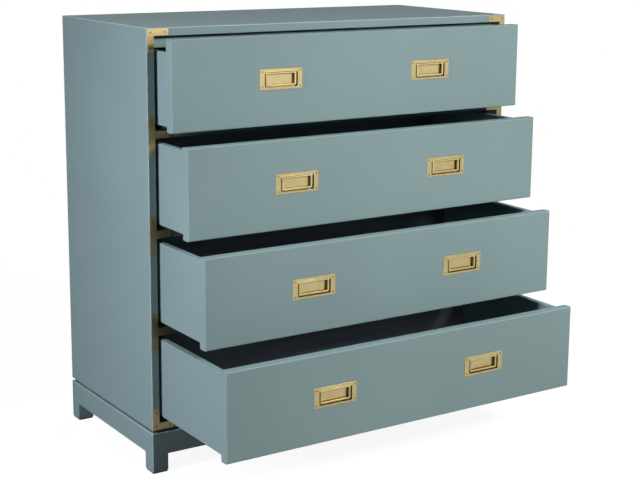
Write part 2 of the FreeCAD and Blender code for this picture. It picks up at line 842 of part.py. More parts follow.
def drawer(number):
    """One drawer, drawn out by its share of the travel."""
    name = f"drawer_{number}"
    shift = -getattr(s, f"{name}_open_share") * travel
    face = front + shift
    front_back = face + s.front_thickness
    low = opening_floor(number) + s.drawer_reveal
    high = opening_floor(number) + opening_height - s.drawer_reveal
    side_low = low + s.side_lift
    under_rail = top_rail_bottom - s.top_rail_clearance
    side_high = under_rail if number == 1 else high - s.side_drop
    bottom_low = side_low + s.drawer_bottom_recess
    bottom_high = bottom_low + s.drawer_bottom_thickness
    rear_end = drawer_rear + shift
    back_rear = rear_end - s.drawer_back_setback
    fit = s.joint_clearance
    plate, bail, pull_screws, pull_cuts = pull(f"{name}_pull", face, (low + high) / 2 + s.pull_rise)

    blank = box(f"{name}_front_blank", (front_left, face, low), (front_right, front_back, high))
    eased = ease(f"{name}_front_eased", "Part::Fillet", blank, s.front_round, ["y-"])
    housing = box(
        f"{name}_side_housing",
        (side_left - fit, front_back - s.side_housing, side_low - fit),
        (side_inside + fit, front_back + s.cut_overrun, side_high + fit),
    )
    front_groove = box(
        f"{name}_front_groove",
        (side_inside - s.drawer_groove, front_back - s.drawer_groove, bottom_low - fit),
        (-side_inside + s.drawer_groove, front_back + s.cut_overrun, bottom_high + fit),
    )
    halves = fuse(f"{name}_front_half_cuts", [housing, pull_cuts])
    both_halves = pair(f"{name}_front_both_cuts", halves)
    node(f"{name}_front", cut(f"{name}_front_board", eased, [both_halves, front_groove]))

    side_front = front_back - s.side_housing + fit
    side_blank = box(
        f"{name}_side_blank",
        (side_left, side_front, side_low),
        (side_inside, rear_end, side_high),
    )
    side_eased = ease(f"{name}_side_eased", "Part::Fillet", side_blank, s.side_round, ["x- z+", "x+ z+"])
    groove = box(
        f"{name}_side_groove",
        (side_inside - s.drawer_groove, side_front - s.cut_overrun, bottom_low - fit),
        (side_inside + s.cut_overrun, rear_end + s.cut_overrun, bottom_high + fit),
    )
    back_high = side_high - s.drawer_back_drop
    back_housing = box(
        f"{name}_back_housing",
        (side_inside - s.drawer_groove, back_rear - s.drawer_back_thickness - fit, bottom_low),
        (side_inside + s.cut_overrun, back_rear + fit, back_high + fit),
    )
    left_board = node(f"{name}_left_side", cut(f"{name}_side_board", side_eased, [groove, back_housing]))
    node(f"{name}_right_side", mirror(f"{name}_right_board", left_board, "x"))

    let_in = side_inside - s.drawer_groove + fit
    back = box(
        f"{name}_back_board",
        (let_in, back_rear - s.drawer_back_thickness, bottom_high),
        (-let_in, back_rear, back_high),
    )
    node(f"{name}_back", back)
    bottom_front = front_back - s.drawer_groove + fit
    bottom = box(
        f"{name}_bottom_board",
        (let_in, bottom_front, bottom_low),
        (-let_in, back_rear, bottom_high),
    )
    node(f"{name}_bottom", bottom)

    node(f"{name}_runners", pair(f"{name}_member_set", drawer_member(number, shift)))
    node(f"{name}_pull_plates", pair(f"{name}_plate_set", plate))
    node(f"{name}_pull_screws", pair(f"{name}_screw_set", pull_screws))
    left_bail = node(f"{name}_left_bail", bail)
    node(f"{name}_right_bail", mirror(f"{name}_bail_twin", left_bail, "x"))


for number in range(1, DRAWERS + 1):
    drawer(number)

doc.recompute()
for thing in doc.Objects:
    faults = {"Invalid", "Error"} & set(thing.State)
    if faults:
        raise RuntimeError(f"{thing.Label} is {faults}")
for piece in nodes:
    if piece.Shape.isNull() or not piece.Shape.isValid() or not piece.Shape.Solids:
        raise RuntimeError(f"{piece.Label} has no sound shape")

os.makedirs("parts", exist_ok=True)
for piece in nodes:
    piece.Shape.exportStep(f"parts/{piece.Label}.step")
print(len(nodes), "pieces written, drawer travel", round(value(travel), 2))
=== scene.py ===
"""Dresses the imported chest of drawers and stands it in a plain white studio.

The chest is a lacquered box with four drawers drawn out in steps, flat brass corner pieces and flush
brass pulls, on a low framed base. Lengths are in metres and angles in degrees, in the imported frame.
"""
import logging
import math
from dataclasses import dataclass, replace
from enum import Enum
from typing import Any, Iterator, Mapping, Optional, Sequence, Union

import bmesh
import bpy
from mathutils import Matrix, Vector


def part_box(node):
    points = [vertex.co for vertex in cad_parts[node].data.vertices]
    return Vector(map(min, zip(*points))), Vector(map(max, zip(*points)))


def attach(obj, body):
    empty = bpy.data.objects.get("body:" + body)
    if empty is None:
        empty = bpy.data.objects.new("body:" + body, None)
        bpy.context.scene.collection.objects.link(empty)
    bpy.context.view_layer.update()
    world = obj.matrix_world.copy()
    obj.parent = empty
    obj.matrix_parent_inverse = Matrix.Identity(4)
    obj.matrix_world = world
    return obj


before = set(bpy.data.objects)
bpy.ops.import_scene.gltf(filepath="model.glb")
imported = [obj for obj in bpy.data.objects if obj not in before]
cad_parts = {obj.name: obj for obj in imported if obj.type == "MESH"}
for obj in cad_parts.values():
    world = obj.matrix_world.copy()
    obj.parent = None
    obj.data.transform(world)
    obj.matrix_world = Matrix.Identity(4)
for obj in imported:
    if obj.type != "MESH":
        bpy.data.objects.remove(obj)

LOG = logging.getLogger("chest")
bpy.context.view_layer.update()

Colour = tuple[float, float, float]
Point = tuple[float, float, float]
Limits = tuple[float, float]
Value = Union["Wire", float, Sequence[float]]

WHITE: Colour = (1.0, 1.0, 1.0)
OPAQUE = 1.0
FULL_STRENGTH = 1.0
ALL_METAL = 1.0
RIGHT_ANGLE = 90.0

# Settings that all patterns share
NOISE_MIDDLE = 0.5
NOISE_ROUGHNESS = 0.5
EDGE_SAMPLES = 6
EDGE_LIMITS: Limits = (0.0, 0.25)
ARRIS_LIMITS: Limits = (0.0, 0.2)
LEVEL_LIMITS: Limits = (0.01, 0.1)


class Slot(Enum):
    """The material slots of the record."""

    PAINTED_WOOD = "painted_wood"
    DARK_WOOD = "dark_wood"
    BARE_WOOD = "bare_wood"
    BRASS = "brass"
    ZINC_STEEL = "zinc_steel"
    NYLON = "nylon"


class Grain(Enum):
    """The way that a grain or a brushed line runs, as the axis along which it is drawn out."""

    ACROSS = (1.0, 0.0, 0.0)
    DEEP = (0.0, 1.0, 0.0)
    UPRIGHT = (0.0, 0.0, 1.0)


class Side(Enum):
    """The chest's left or right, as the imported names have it."""

    LEFT = "left"
    RIGHT = "right"


class Wire:
    """A socket that takes part in shader arithmetic: an expression on wires adds its Math nodes."""

    def __init__(self, graph: "Graph", socket: bpy.types.NodeSocket) -> None:
        """Hold a socket of a graph."""
        self.graph = graph
        self.socket = socket

    def _math(self, operation: str, first: Value, second: Value) -> "Wire":
        """Add one Math node on two values."""
        return self.graph.node("ShaderNodeMath", {"operation": operation}, {0: first, 1: second})

    def __add__(self, other: Value) -> "Wire":
        """This value plus another."""
        return self._math("ADD", self, other)

    def __radd__(self, other: Value) -> "Wire":
        """Another value plus this one."""
        return self._math("ADD", other, self)

    def __sub__(self, other: Value) -> "Wire":
        """This value less another."""
        return self._math("SUBTRACT", self, other)

    def __rsub__(self, other: Value) -> "Wire":
        """Another value less this one."""
        return self._math("SUBTRACT", other, self)

    def __mul__(self, other: Value) -> "Wire":
        """This value times another."""
        return self._math("MULTIPLY", self, other)

    def __rmul__(self, other: Value) -> "Wire":
        """Another value times this one."""
        return self._math("MULTIPLY", other, self)

    def at_least(self, other: Value) -> "Wire":
        """The larger of this value and another."""
        return self._math("MAXIMUM", self, other)

    def size(self) -> "Wire":
        """This value without its sign."""
        return self.at_least(-1 * self)

    def off_middle(self) -> "Wire":
        """How far a noise lies above or below its middle."""
        return self - NOISE_MIDDLE

    def between(self, low: float, high: float) -> "Wire":
        """Ease this value from 0 at low to 1 at high.

        Args:
            low: the value that comes out as 0.
            high: the value that comes out as 1.

        Returns:
            The eased value.
        """
        settings = {"interpolation_type": "SMOOTHSTEP"}
        links = {"Value": self, "From Min": low, "From Max": high}
        return self.graph.node("ShaderNodeMapRange", settings, links)


class Graph:
    """A node tree that is written as expressions."""

    def __init__(self, tree: bpy.types.NodeTree) -> None:
        """Start from an empty tree."""
        self.tree = tree
        self.tree.nodes.clear()

    def node(
        self,
        kind: str,
        settings: Optional[Mapping[str, Any]] = None,
        links: Optional[Mapping[Union[str, int], Value]] = None,
        output: Union[str, int] = 0,
    ) -> Optional[Wire]:
        """Add one node.

        Args:
            kind: the node's type.
            settings: its own settings, such as an operation, which are set first.
            links: the values or wires of its sockets, by name or number.
            output: the socket that is handed on, by name or number.

        Returns:
            The wire from that socket, or nothing where the node has none to hand on.
        """
        made = self.tree.nodes.new(kind)
        for name, setting in (settings or {}).items():
            setattr(made, name, setting)
        for name, value in (links or {}).items():
            if isinstance(value, Wire):
                self.tree.links.new(value.socket, made.inputs[name])
            else:
                made.inputs[name].default_value = value
        return Wire(self, made.outputs[output]) if made.outputs else None

    def place(self) -> Wire:
        """The point on the surface, in metres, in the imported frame."""
        return self.node("ShaderNodeTexCoord", output="Object")

    def moved(self, place: Wire, start: Point) -> Wire:
        """Move places, so that a pattern there starts elsewhere."""
        links = {"Vector": place, "Location": start}
        return self.node("ShaderNodeMapping", {"vector_type": "POINT"}, links)

    def stretched(self, place: Wire, grain: Grain, length_share: float) -> Wire:
        """Shrink places along a grain, so that a pattern there is drawn out.

        Args:
            place: the points that the pattern reads.
            grain: the axis along which it is drawn out.
            length_share: the pattern's width as a share of its length.

        Returns:
            The points to read instead.
        """
        scale = [1 - axis * (1 - length_share) for axis in grain.value]
        links = {"Vector": place, "Scale": scale}
        return self.node("ShaderNodeMapping", {"vector_type": "POINT"}, links)

    def noise(self, place: Wire, size: float, detail: float) -> Wire:
        """Soft noise about its middle, with blots of one size.

        Args:
            place: the points that it reads.
            size: the width of a blot, in metres.
            detail: how many finer layers lie on it.

        Returns:
            The noise, from 0 to 1.
        """
        links = {"Vector": place, "Scale": 1 / size, "Detail": detail, "Roughness": NOISE_ROUGHNESS}
        return self.node("ShaderNodeTexNoise", {"noise_dimensions": "3D"}, links)

    def mix(self, share: Value, first: Value, second: Value) -> Wire:
        """Blend two colours.

        Args:
            share: how much of the second shows.
            first: a colour or its wire.
            second: a colour or its wire.

        Returns:
            The blended colour.
        """
        settings = {"data_type": "RGBA", "blend_type": "MIX", "clamp_factor": True}
        ends = [end if isinstance(end, Wire) else (*end, OPAQUE) for end in (first, second)]
        return self.node("ShaderNodeMix", settings, {0: share, 6: ends[0], 7: ends[1]}, 2)

    def bump(
        self, height: Wire, distance: float, strength: float, normal: Optional[Wire] = None
    ) -> Wire:
        """Raise a surface by a height pattern.

        Args:
            height: the pattern, from 0 to 1.
            distance: the height of its crests, in metres.
            strength: how strongly it shows.
            normal: the normal that it starts from, if not the surface's own.

        Returns:
            The raised normal.
        """
        links = {"Height": height, "Distance": distance, "Strength": strength}
        if normal is not None:
            links["Normal"] = normal
        return self.node("ShaderNodeBump", None, links)

    def along(self, vector: Wire, axis: str) -> Wire:
        """The part of a vector that lies along X, Y or Z."""
        return self.node("ShaderNodeSeparateXYZ", None, {"Vector": vector}, axis)

    def flat_normal(self) -> Wire:
        """The surface's own normal."""
        return self.node("ShaderNodeNewGeometry", output="Normal")

    def eased(self, radius: Value) -> Wire:
        """The normal, eased round the edges of a piece.

        Args:
            radius: how far from an edge it turns, in metres, or its wire.

        Returns:
            The eased normal.
        """
        return self.node("ShaderNodeBevel", {"samples": EDGE_SAMPLES}, {"Radius": radius})

    def level_only(self, eased: Wire) -> Wire:
        """Keep an eased normal on level edges and drop it on upright ones.

        Args:
            eased: the normal of a piece, eased round its edges.

        Returns:
            The normal, eased round the level edges alone.
        """
        own = self.flat_normal()
        turn = self.along(eased, "Z") - self.along(own, "Z")
        level = turn.size().between(*LEVEL_LIMITS)
        return self.node("ShaderNodeMix", {"data_type": "VECTOR"}, {0: level, 4: own, 5: eased}, 1)

    def edge(self, eased: Wire) -> Wire:
        """Find the sharp edges of a piece.

        Args:
            eased: its normal, eased round its edges.

        Returns:
            A mask that is 1 on an edge and 0 away from it.
        """
        links = {0: eased, 1: self.flat_normal()}
        straight = self.node("ShaderNodeVectorMath", {"operation": "DOT_PRODUCT"}, links, "Value")
        return (1 - straight).between(*EDGE_LIMITS)

    def arris(self, eased: Wire) -> Wire:
        """Find the arrises of a squared board, sharp or rounded.

        Args:
            eased: its normal, eased round its edges.

        Returns:
            A mask that is 1 where the normal points along none of the three axes, and 0 on the flats.
        """
        across, deep, upright = (self.along(eased, axis).size() for axis in "XYZ")
        return (1 - across.at_least(deep).at_least(upright)).between(*ARRIS_LIMITS)

    def surface(self, shader: Wire) -> None:
        """Send a shader to the material's or the world's output.

        Args:
            shader: the finished shader.
        """
        world = isinstance(self.tree.id_data, bpy.types.World)
        kind = "ShaderNodeOutputWorld" if world else "ShaderNodeOutputMaterial"
        self.node(kind, None, {"Surface": shader})


def shade(colour: Colour, share: float) -> Colour:
    """A linear colour made lighter or darker, by a share that it is multiplied by."""
    return tuple(part * share for part in colour)


@dataclass(frozen=True)
class Finish:
    """A surface finish, made once as a material and shared by the pieces that have it."""

    name: str
    slot: Slot

    def lay(self, graph: Graph) -> Wire:
        """Write the finish's shader into a graph."""
        raise NotImplementedError

    def material(self) -> bpy.types.Material:
        """The finish as a material, made the first time that it is asked for.

        Returns:
            The material, which all pieces with this finish share.
        """
        made = bpy.data.materials.get(self.name)
        if made is None:
            made = bpy.data.materials.new(self.name)
            made.use_nodes = True
            graph = Graph(made.node_tree)
            graph.surface(self.lay(graph))
        return made


@dataclass(frozen=True)
class Lacquer(Finish):
    """Satin sprayed lacquer, with a faint cloud in its tone that also paints light and shade across the
    fronts, orange peel, and edges made lighter partly as rubbed wear and partly as a painted highlight.

    Joints at the filled heights, or all upright ones, were filled and sanded flush before spraying,
    so that no edge shows there.
    """

    colour: Colour = (0.2185, 0.308, 0.311)
    roughness: float = 0.6
    specular: float = 0.07
    # The cloud's size and start are set so that its lighter and darker patches lie where the fronts
    # take more or less light: a random tone that also paints light and shade.
    cloud: float = 0.5
    painted_light_cloud_start: Point = (-6.3, 2.4, 0.1)
    cloud_detail: float = 3.0
    cloud_limits: Limits = (0.3, 0.7)
    cloud_light_and_tone_share: float = 0.05
    cloud_roughness: float = 0.1
    speck: float = 0.004
    speck_detail: float = 1.0
    speck_cover_share: float = 0.04
    speck_tone_share: float = 0.5
    speck_roughness: float = 0.06
    peel: float = 0.0016
    peel_detail: float = 1.0
    peel_height: float = 0.00004
    peel_strength: float = 0.35
    wave: float = 0.07
    wave_detail: float = 2.0
    wave_height: float = 0.0002
    wave_strength: float = 0.2
    # Painted highlight as well as wear: the edge colour, over the edge share, makes the arrises paler
    # than the faces.
    edge_wear_and_highlight_colour: Colour = (0.33, 0.42, 0.42)
    edge_radius: float = 0.0016
    edge_cover_share: float = 0.3
    rub_and_highlight: float = 0.03
    rub_detail: float = 2.0
    rub_limits: Limits = (0.1, 0.5)
    rub_polish: float = 0.06
    filled_heights: tuple[float, ...] = ()
    filler_reach: float = 0.004
    filled_upright: bool = False

    def lay(self, graph: Graph) -> Wire:
        """Write the lacquer's shader into a graph.

        Args:
            graph: the empty graph of the finish's material.

        Returns:
            The shader.
        """
        place = graph.place()
        clouds = graph.noise(graph.moved(place, self.painted_light_cloud_start), self.cloud, self.cloud_detail)
        specks = graph.noise(place, self.speck, self.speck_detail)
        eased = graph.eased(self.open_radius(graph, place))
        if self.filled_upright:
            eased = graph.level_only(eased)
        # Painted highlight: where rub patches meet an arris the colour is mixed towards the pale edge
        # colour, partly as rubbed wear and partly as a painted highlight.
        rub_and_highlight_patches = graph.noise(place, self.rub_and_highlight, self.rub_detail).between(*self.rub_limits)
        rub_and_highlight = graph.arris(eased) * rub_and_highlight_patches
        # Painted light and shade: the cloud makes the colour lighter and darker by its tone share.
        dull, bright = (shade(self.colour, 1 + sign * self.cloud_light_and_tone_share) for sign in (-1, 1))
        cloudy_light_and_tone = graph.mix(clouds.between(*self.cloud_limits), dull, bright)
        dark = shade(self.colour, self.speck_tone_share)
        speckled = graph.mix(specks * self.speck_cover_share, cloudy_light_and_tone, dark)
        toned = graph.mix(rub_and_highlight * self.edge_cover_share, speckled, self.edge_wear_and_highlight_colour)
        rough = (
            self.roughness
            + clouds.off_middle() * self.cloud_roughness
            + specks.off_middle() * self.speck_roughness
            - rub_and_highlight * self.rub_polish
        )
        swell = graph.noise(place, self.wave, self.wave_detail)
        waves = graph.bump(swell, self.wave_height, self.wave_strength, eased)
        pits = graph.noise(place, self.peel, self.peel_detail)
        peel = graph.bump(pits, self.peel_height, self.peel_strength, waves)
        links = {
            "Base Color": toned,
            "Roughness": rough,
            "Normal": peel,
            "Specular IOR Level": self.specular,
        }
        return graph.node("ShaderNodeBsdfPrincipled", None, links)

    def open_radius(self, graph: Graph, place: Wire) -> Value:
        """The radius of the eased edges, which falls to nothing along a filled joint.

        Args:
            graph: the finish's graph.
            place: the points on the surface.

        Returns:
            The radius in metres, or its wire.
        """
        radius: Value = self.edge_radius
        for height in self.filled_heights:
            rise = (graph.along(place, "Z") - height).size()
            radius = rise.between(self.filler_reach, 2 * self.filler_reach) * radius
        return radius


@dataclass(frozen=True)
class BrushedBrass(Finish):
    """Solid brass brushed one way, a little tarnished, with grime and painted shade in its corners, and
    edges darkened partly as dull wear and partly as painted shade.
    """

    grain: Grain = Grain.ACROSS
    colour: Colour = (0.50, 0.41, 0.205)
    tarnish: Colour = (0.33, 0.245, 0.10)
    roughness: float = 0.30
    line: float = 0.0005
    line_detail: float = 2.0
    line_share: float = 0.012
    line_stain_share: float = 0.5
    line_roughness: float = 0.12
    line_height: float = 0.000005
    line_strength: float = 0.5
    blot: float = 0.018
    blot_detail: float = 4.0
    blot_limits: Limits = (0.42, 0.72)
    blot_stain_share: float = 0.34
    blot_roughness: float = 0.1
    recess: float = 0.006
    recess_limits: Limits = (0.25, 0.8)
    recess_stain_share: float = 0.4
    # The grime colour paints shade in the shut-in recesses, besides grime.
    grime_and_shade: Colour = (0.06, 0.045, 0.02)
    grime_and_shade_limits: Limits = (0.4, 0.72)
    edge_radius: float = 0.0002
    # Painted shade as well as dull wear: sharp edges are darkened by this share, which dims the glints
    # that the lamps make on them.
    edge_dull_and_shade_share: float = 0.9
    edge_cover_share: float = 0.5
    edge_roughness: float = 0.25

    def lay(self, graph: Graph) -> Wire:
        """Write the brass's shader into a graph.

        Args:
            graph: the empty graph of the finish's material.

        Returns:
            The shader.
        """
        place = graph.place()
        brushing = graph.stretched(place, self.grain, self.line_share)
        lines = graph.noise(brushing, self.line, self.line_detail)
        blots = graph.noise(place, self.blot, self.blot_detail)
        eased = graph.eased(self.edge_radius)
        edges = graph.edge(eased)
        settings = {"samples": EDGE_SAMPLES}
        open_share = graph.node("ShaderNodeAmbientOcclusion", settings, {"Distance": self.recess}, "AO")
        shut = 1 - open_share
        stain = (
            blots.between(*self.blot_limits) * self.blot_stain_share
            + shut.between(*self.recess_limits) * self.recess_stain_share
            + lines.off_middle() * self.line_stain_share
        )
        toned = graph.mix(stain.at_least(0.0), self.colour, self.tarnish)
        # Grime and painted shade: where ambient occlusion finds the surface shut in, the colour is
        # mixed towards near-black.
        grimy_and_shaded = graph.mix(shut.between(*self.grime_and_shade_limits), toned, self.grime_and_shade)
        # Painted shade and dull wear: sharp edges get a darker copy of the colour.
        dulled_and_shaded = shade(self.colour, self.edge_dull_and_shade_share)
        edged = graph.mix(edges * self.edge_cover_share, grimy_and_shaded, dulled_and_shaded)
        rough = (
            self.roughness
            + lines.off_middle() * self.line_roughness
            + blots.off_middle() * self.blot_roughness
            + edges * self.edge_roughness
        )
        brushed = graph.bump(lines, self.line_height, self.line_strength, eased)
        links = {"Base Color": edged, "Roughness": rough, "Normal": brushed, "Metallic": ALL_METAL}
        return graph.node("ShaderNodeBsdfPrincipled", None, links)


@dataclass(frozen=True)
class GrainedWood(Finish):
    """Wood whose grain shows, stained or bare."""

    grain: Grain = Grain.ACROSS
    pale: Colour = (0.030, 0.044, 0.062)
    dark: Colour = (0.013, 0.020, 0.030)
    roughness: float = 0.62
    figure: float = 0.03
    figure_detail: float = 4.0
    figure_share: float = 0.08
    figure_limits: Limits = (0.3, 0.7)
    figure_tone_share: float = 0.7
    pore: float = 0.0012
    pore_detail: float = 2.0
    pore_share: float = 0.03
    pore_limits: Limits = (0.35, 0.65)
    pore_tone_share: float = 0.3
    pore_roughness: float = 0.2
    pore_height: float = 0.00012
    pore_strength: float = 0.4

    def lay(self, graph: Graph) -> Wire:
        """Write the wood's shader into a graph.

        Args:
            graph: the empty graph of the finish's material.

        Returns:
            The shader.
        """
        place = graph.place()
        rings = graph.stretched(place, self.grain, self.figure_share)
        figure = graph.noise(rings, self.figure, self.figure_detail)
        fibres = graph.stretched(place, self.grain, self.pore_share)
        pores = graph.noise(fibres, self.pore, self.pore_detail)
        depth = (
            figure.between(*self.figure_limits) * self.figure_tone_share
            + pores.between(*self.pore_limits) * self.pore_tone_share
        )
        toned = graph.mix(depth, self.dark, self.pale)
        rough = self.roughness + pores.off_middle() * self.pore_roughness
        grained = graph.bump(pores, self.pore_height, self.pore_strength)
        links = {"Base Color": toned, "Roughness": rough, "Normal": grained}
        return graph.node("ShaderNodeBsdfPrincipled", None, links)


@dataclass(frozen=True)
class ZincPlate(Finish):
    """Rolled steel with a zinc coat: faint spangle, and lines where the drawer has run."""

    grain: Grain = Grain.DEEP
    colour: Colour = (0.52, 0.53, 0.54)
    shadow: Colour = (0.34, 0.35, 0.37)
    roughness: float = 0.38
    spangle: float = 0.006
    spangle_tone_share: float = 0.5
    spangle_roughness: float = 0.12
    track: float = 0.0008
    track_detail: float = 2.0
    track_share: float = 0.02
    track_tone_share: float = 0.4
    track_roughness: float = 0.2
    track_height: float = 0.00002
    track_strength: float = 0.4

    def lay(self, graph: Graph) -> Wire:
        """Write the zinc's shader into a graph.

        Args:
            graph: the empty graph of the finish's material.

        Returns:
            The shader.
        """
        place = graph.place()
        links = {"Vector": place, "Scale": 1 / self.spangle}
        spangle = graph.node("ShaderNodeTexVoronoi", {"feature": "F1"}, links, "Color")
        tone = graph.node("ShaderNodeRGBToBW", None, {"Color": spangle})
        runs = graph.stretched(place, self.grain, self.track_share)
        tracks = graph.noise(runs, self.track, self.track_detail)
        dimmed = tone * self.spangle_tone_share + tracks * self.track_tone_share
        toned = graph.mix(dimmed, self.colour, self.shadow)
        rough = (
            self.roughness
            + tone.off_middle() * self.spangle_roughness
            + tracks.off_middle() * self.track_roughness
        )
        lined = graph.bump(tracks, self.track_height, self.track_strength)
        links = {"Base Color": toned, "Roughness": rough, "Normal": lined, "Metallic": ALL_METAL}
        return graph.node("ShaderNodeBsdfPrincipled", None, links)


@dataclass(frozen=True)
class MouldedNylon(Finish):
    """Black moulded nylon with a fine spark texture and scuffs."""

    colour: Colour = (0.018, 0.018, 0.019)
    scuffed: Colour = (0.07, 0.07, 0.07)
    roughness: float = 0.5
    spark: float = 0.0006
    spark_detail: float = 2.0
    spark_roughness: float = 0.1
    spark_height: float = 0.00004
    spark_strength: float = 0.5
    scuff: float = 0.008
    scuff_detail: float = 4.0
    scuff_limits: Limits = (0.55, 0.75)
    scuff_cover_share: float = 0.5
    scuff_roughness: float = 0.2

    def lay(self, graph: Graph) -> Wire:
        """Write the nylon's shader into a graph.

        Args:
            graph: the empty graph of the finish's material.

        Returns:
            The shader.
        """
        place = graph.place()
        sparks = graph.noise(place, self.spark, self.spark_detail)
        scuffs = graph.noise(place, self.scuff, self.scuff_detail).between(*self.scuff_limits)
        toned = graph.mix(scuffs * self.scuff_cover_share, self.colour, self.scuffed)
        rough = (
            self.roughness
            + scuffs * self.scuff_roughness
            + sparks.off_middle() * self.spark_roughness
        )
        textured = graph.bump(sparks, self.spark_height, self.spark_strength)
        links = {"Base Color": toned, "Roughness": rough, "Normal": textured}
        return graph.node("ShaderNodeBsdfPrincipled", None, links)


LACQUER = Lacquer("grey_green_lacquer", Slot.PAINTED_WOOD)
BOX_LACQUER = replace(LACQUER, name="box_lacquer", edge_cover_share=0.05)
# Painted highlight: a far paler edge colour over most of each arris paints bright lines along the
# case's and base's edges, besides rubbed wear.
HIGHLIGHT_EDGED_LACQUER = replace(
    LACQUER,
    name="highlight_edged_lacquer",
    edge_wear_and_highlight_colour=(0.72, 0.82, 0.82),
    edge_radius=0.0026,
    edge_cover_share=0.85,
)
PLATE_BRASS = BrushedBrass("brushed_brass", Slot.BRASS)
BAIL_BRASS = replace(
    PLATE_BRASS,
    name="bail_brass",
    colour=(0.42, 0.345, 0.17),
    tarnish=(0.28, 0.21, 0.09),
    roughness=0.58,
    # The bails' edges are darkened more, a painted shade that dims their glints.
    edge_dull_and_shade_share=0.7,
)
SCREW_BRASS = replace(
    PLATE_BRASS,
    name="screw_brass",
    colour=(0.24, 0.18, 0.085),
    tarnish=(0.13, 0.095, 0.04),
    roughness=0.34,
    blot=0.004,
)
PULL_SCREW_BRASS = replace(
    SCREW_BRASS,
    name="pull_screw_brass",
    colour=(0.31, 0.245, 0.118),
    tarnish=(0.19, 0.14, 0.06),
)
# Painted shade: the tee pieces sit between the open drawers, in their shade, and get a much darker copy
# of the brass.
SHADED_TEE_BRASS = replace(
    PLATE_BRASS,
    name="shaded_tee_brass",
    grain=Grain.UPRIGHT,
    colour=(0.256, 0.222, 0.122),
    tarnish=(0.17, 0.138, 0.067),
    roughness=0.36,
)
CORNER_BRASS = replace(
    PLATE_BRASS,
    name="corner_brass",
    grain=Grain.UPRIGHT,
    colour=(0.45, 0.37, 0.185),
    tarnish=(0.30, 0.225, 0.095),
)
# Painted shade: a near-black board stands in for the shade in the recessed shadow gap and inside the
# case at the back.
SHADE_BLACK_BOARD = GrainedWood("black_shade_board", Slot.DARK_WOOD)
GREY_BOARD = replace(
    SHADE_BLACK_BOARD,
    name="grey_stained_board",
    pale=(0.23, 0.255, 0.29),
    dark=(0.14, 0.157, 0.18),
)
BARE_BEECH = GrainedWood(
    "bare_beech",
    Slot.BARE_WOOD,
    grain=Grain.UPRIGHT,
    pale=(0.58, 0.40, 0.24),
    dark=(0.42, 0.26, 0.14),
    figure=0.006,
)
ZINC = ZincPlate("zinc_plate", Slot.ZINC_STEEL)
NYLON = MouldedNylon("moulded_nylon", Slot.NYLON)


def dress(node: str, finish: Finish) -> None:
    """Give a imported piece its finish.

    Args:
        node: the piece's name.
        finish: the finish that it gets all over.
    """
    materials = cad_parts[node].data.materials
    materials.clear()
    materials.append(finish.material())
    LOG.info("%s: %s", node, finish.name)


def add_piece(name: str, shape: bmesh.types.BMesh, finish: Finish, body: str) -> None:
    """Turn a finished bmesh into a piece that rides on a body.

    Args:
        name: the piece's name.
        shape: its mesh, in place, which is freed.
        finish: the finish that it gets all over.
        body: the body that it moves with.
    """
    mesh = bpy.data.meshes.new(name)
    shape.to_mesh(mesh)
    shape.free()
    mesh.materials.append(finish.material())
    piece = bpy.data.objects.new(name, mesh)
    bpy.context.scene.collection.objects.link(piece)
    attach(piece, body)
    LOG.info("%s: %s, on %s", name, finish.name, body)


